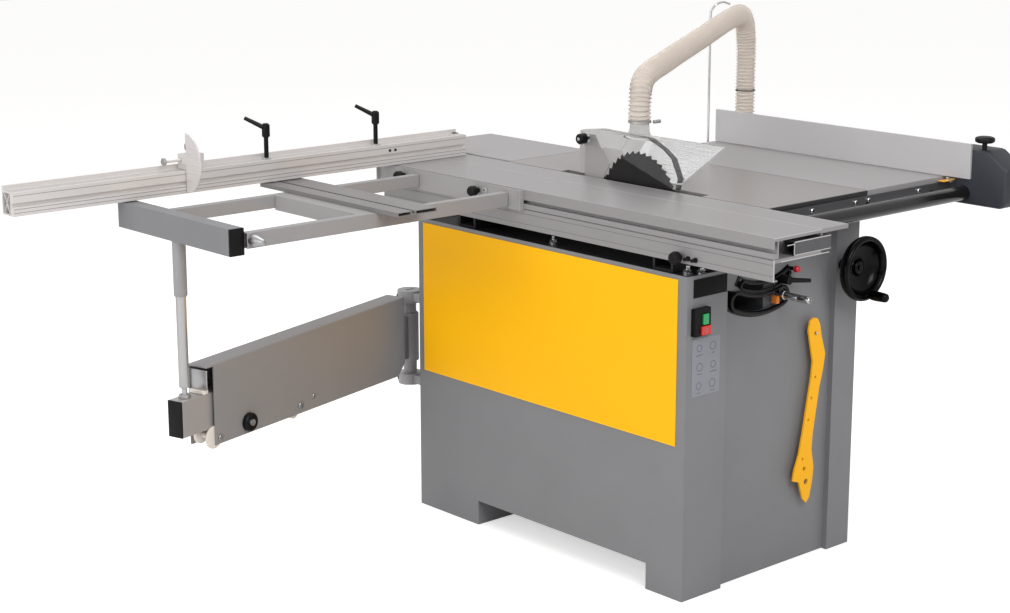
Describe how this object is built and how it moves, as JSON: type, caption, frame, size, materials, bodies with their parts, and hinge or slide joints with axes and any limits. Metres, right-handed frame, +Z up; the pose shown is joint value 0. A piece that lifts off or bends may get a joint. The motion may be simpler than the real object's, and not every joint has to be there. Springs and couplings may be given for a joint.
{
  "type": "sliding-table panel saw",
  "caption": "Sliding-table panel saw with tilting blade, rip fence, crosscut fence on an outrigger, swinging support arm, clear blade guard and dust hose.",
  "frame": {"origin": "centre of the bounding box of everything but the hose, at floor level", "axes": "+Z up, -Y toward the operator, +X from the sliding table toward the rip fence; the blade runs along Y"},
  "size_m": [2.0845, 1.463, 1.2198],
  "materials": {
    "gray_paint": "satin powder coat",
    "yellow_paint": "satin powder coat",
    "table_paint": "satin",
    "table_iron": "ground and oiled",
    "aluminium": "anodised, brushed",
    "steel": "bright",
    "blade_steel": "dark coated",
    "black_paint": "satin black",
    "black_plastic": "matt",
    "yellow_plastic": "matt",
    "blue_gray_paint": "satin",
    "green_plastic": "gloss",
    "red_plastic": "gloss",
    "clear_plastic": "clear",
    "belt_rubber": "matt",
    "roller_plastic": "matt"
  },
  "bodies": {
    "stand": {"cabinet_shell": "gray_paint", "side_panel": "yellow_paint", "top_tray": "black_paint", "tilt_slot_trim": "black_plastic", "tilt_scale_trim": "black_plastic", "switch_box": "black_plastic", "saw_table": "table_iron", "rear_extension": "table_paint", "right_extension": "table_paint", "fence_rail_angle": "steel", "fence_rail_round": "black_paint", "slide_base": "table_paint", "slide_bracket_front": "gray_paint", "slide_bracket_rear": "gray_paint", "slide_end_channel": "aluminium", "hinge_column": "gray_paint", "hose_rod": "steel", "dust_hose": "clear_plastic", "dust_port": "black_plastic"},
    "tilt_unit": {"tilt_frame": "gray_paint"},
    "blade_carrier": {"arbor_housing": "steel", "motor": "gray_paint", "riving_knife": "steel", "drive_belt": "belt_rubber"},
    "spindle": {"saw_blade": "blade_steel", "arbor_shaft": "steel", "arbor_pulley": "steel"},
    "motor_rotor": {"motor_pulley": "steel"},
    "height_crank": {"height_shaft": "steel"},
    "tilt_clamp": {"tilt_clamp_lever": "black_plastic"},
    "guard_unit": {"guard": "clear_plastic"},
    "guard_screw": {"guard_knob": "black_plastic"},
    "tilt_wheel": {"tilt_handwheel": "black_plastic"},
    "wheel_grip": {"handwheel_grip": "black_plastic"},
    "start": {"start_button": "green_plastic"},
    "stop": {"stop_button": "red_plastic"},
    "stick": {"push_stick": "yellow_plastic"},
    "carriage": {"carriage_top": "table_paint", "carriage_lip": "table_paint", "outrigger_plate": "table_paint", "outrigger_end_tube": "gray_paint", "outrigger_end_cap": "black_plastic", "outrigger_near_bar": "gray_paint", "outrigger_far_bar": "gray_paint", "outrigger_cross_tube": "gray_paint", "outrigger_slat": "aluminium"},
    "knob_front": {"outrigger_knob_front": "black_plastic"},
    "knob_rear": {"outrigger_knob_rear": "black_plastic"},
    "swing_fence": {"crosscut_fence": "aluminium"},
    "lever_in": {"fence_lever_inner": "black_plastic"},
    "lever_out": {"fence_lever_outer": "black_plastic"},
    "stop_slide": {"flip_stop_block": "aluminium"},
    "stop_flap": {"flip_stop_plate": "aluminium"},
    "rip_fence": {"rip_fence_block": "blue_gray_paint"},
    "rip_plate": {"rip_fence_plate": "aluminium"},
    "rip_clamp": {"rip_fence_knob": "black_plastic"},
    "arm": {"support_arm": "gray_paint"},
    "telescope": {"telescopic_tube": "aluminium", "support_strut": "steel"},
    "roller": {"arm_roller": "roller_plastic"}
  },
  "joints": [
    {"name": "blade_tilt", "type": "hinge", "parent": "stand", "child": "tilt_unit", "pos_m": [0.2719, -0.1035, 0.85], "axis": [0, 1, 0], "range_deg": [0, 45], "deforming": ["dust_hose"]},
    {"name": "blade_lift", "type": "slide", "parent": "tilt_unit", "child": "blade_carrier", "axis": [0, 0, 1], "range_m": [-0.08, 0]},
    {"name": "blade_spin", "type": "hinge", "parent": "blade_carrier", "child": "spindle", "pos_m": [0.2719, -0.1035, 0.803], "axis": [1, 0, 0], "continuous": true},
    {"name": "motor_spin", "type": "hinge", "parent": "blade_carrier", "child": "motor_rotor", "pos_m": [0.3769, 0.0165, 0.62], "axis": [1, 0, 0], "continuous": true},
    {"name": "height_crank_turn", "type": "hinge", "parent": "tilt_unit", "child": "height_crank", "pos_m": [0.32448, -0.5005, 0.64669], "axis": [0, 1, 0], "range_deg": [0, 2880]},
    {"name": "tilt_clamp_turn", "type": "hinge", "parent": "tilt_unit", "child": "tilt_clamp", "pos_m": [0.33199, -0.5005, 0.68032], "axis": [0, 1, 0], "range_deg": [-35, 35]},
    {"name": "guard_lift", "type": "slide", "parent": "tilt_unit", "child": "guard_unit", "axis": [0, 0, 1], "range_m": [0, 0.02], "deforming": ["dust_hose"]},
    {"name": "guard_knob_turn", "type": "hinge", "parent": "guard_unit", "child": "guard_screw", "pos_m": [0.2719, 0.0675, 0.94], "axis": [1, 0, 0], "continuous": true},
    {"name": "tilt_wheel_turn", "type": "hinge", "parent": "stand", "child": "tilt_wheel", "pos_m": [0.5319, -0.5005, 0.686], "axis": [0, 1, 0], "range_deg": [0, 1800]},
    {"name": "wheel_grip_spin", "type": "hinge", "parent": "tilt_wheel", "child": "wheel_grip", "pos_m": [0.5439, -0.5605, 0.625], "axis": [0, 1, 0], "continuous": true},
    {"name": "start_press", "type": "slide", "parent": "stand", "child": "start", "axis": [0, 1, 0], "range_m": [0, 0.003], "stiffness_N_per_m": 400},
    {"name": "stop_press", "type": "slide", "parent": "stand", "child": "stop", "axis": [0, 1, 0], "range_m": [0, 0.003], "stiffness_N_per_m": 400},
    {"name": "push_stick_off", "type": "slide", "parent": "stand", "child": "stick", "axis": [0, -1, 0], "range_m": [0, 0.06]},
    {"name": "carriage_slide", "type": "slide", "parent": "stand", "child": "carriage", "axis": [0, 1, 0], "range_m": [-0.6, 0.04]},
    {"name": "fence_swing", "type": "hinge", "parent": "carriage", "child": "swing_fence", "pos_m": [-0.0281, 0.512, 0.851], "axis": [0, 0, 1], "range_deg": [0, 45]},
    {"name": "inner_lever_turn", "type": "hinge", "parent": "swing_fence", "child": "lever_in", "pos_m": [-0.0281, 0.508, 0.903], "axis": [0, 0, 1], "range_deg": [-90, 90]},
    {"name": "outer_lever_turn", "type": "hinge", "parent": "swing_fence", "child": "lever_out", "pos_m": [-0.3501, 0.508, 0.903], "axis": [0, 0, 1], "range_deg": [-90, 90]},
    {"name": "stop_slide_along", "type": "slide", "parent": "swing_fence", "child": "stop_slide", "axis": [1, 0, 0], "range_m": [-0.35, 0.12]},
    {"name": "stop_flip", "type": "hinge", "parent": "stop_slide", "child": "stop_flap", "pos_m": [-0.5801, 0.5085, 0.925], "axis": [1, 0, 0], "range_deg": [-90, 0]},
    {"name": "front_knob_turn", "type": "hinge", "parent": "carriage", "child": "knob_front", "pos_m": [0.0099, 0.1775, 0.829], "axis": [1, 0, 0], "continuous": true},
    {"name": "rear_knob_turn", "type": "hinge", "parent": "carriage", "child": "knob_rear", "pos_m": [0.0099, 0.4545, 0.829], "axis": [1, 0, 0], "continuous": true},
    {"name": "rip_fence_slide", "type": "slide", "parent": "stand", "child": "rip_fence", "axis": [1, 0, 0], "range_m": [-0.48, 0.03]},
    {"name": "rip_plate_slide", "type": "slide", "parent": "rip_fence", "child": "rip_plate", "axis": [0, 1, 0], "range_m": [-0.25, 0]},
    {"name": "rip_knob_turn", "type": "hinge", "parent": "rip_fence", "child": "rip_clamp", "pos_m": [0.9122, -0.607, 0.925], "axis": [0, 0, 1], "continuous": true},
    {"name": "arm_swing", "type": "hinge", "parent": "stand", "child": "arm", "pos_m": [0.0864, 0.5265, 0.316], "axis": [0, 0, 1], "range_deg": [-8, 32]},
    {"name": "arm_extend", "type": "slide", "parent": "arm", "child": "telescope", "axis": [-0.965, -0.2623, 0], "range_m": [-0.03, 0.33]},
    {"name": "roller_spin", "type": "hinge", "parent": "arm", "child": "roller", "pos_m": [-0.66147, 0.32325, 0.3347], "axis": [0.2623, -0.965, 0], "continuous": true}
  ],
  "couplings": [
    {"joint": "tilt_wheel_turn", "follows": "blade_tilt", "ratio": 40},
    {"joint": "height_crank_turn", "follows": "blade_lift", "rad_per_m": -628.32},
    {"joint": "motor_spin", "follows": "blade_spin", "ratio": 0.8},
    {"joint": "arm_swing", "follows": "carriage_slide", "rad_per_m": -0.87746},
    {"joint": "arm_extend", "follows": "carriage_slide", "ratio": -0.52232}
  ]
}
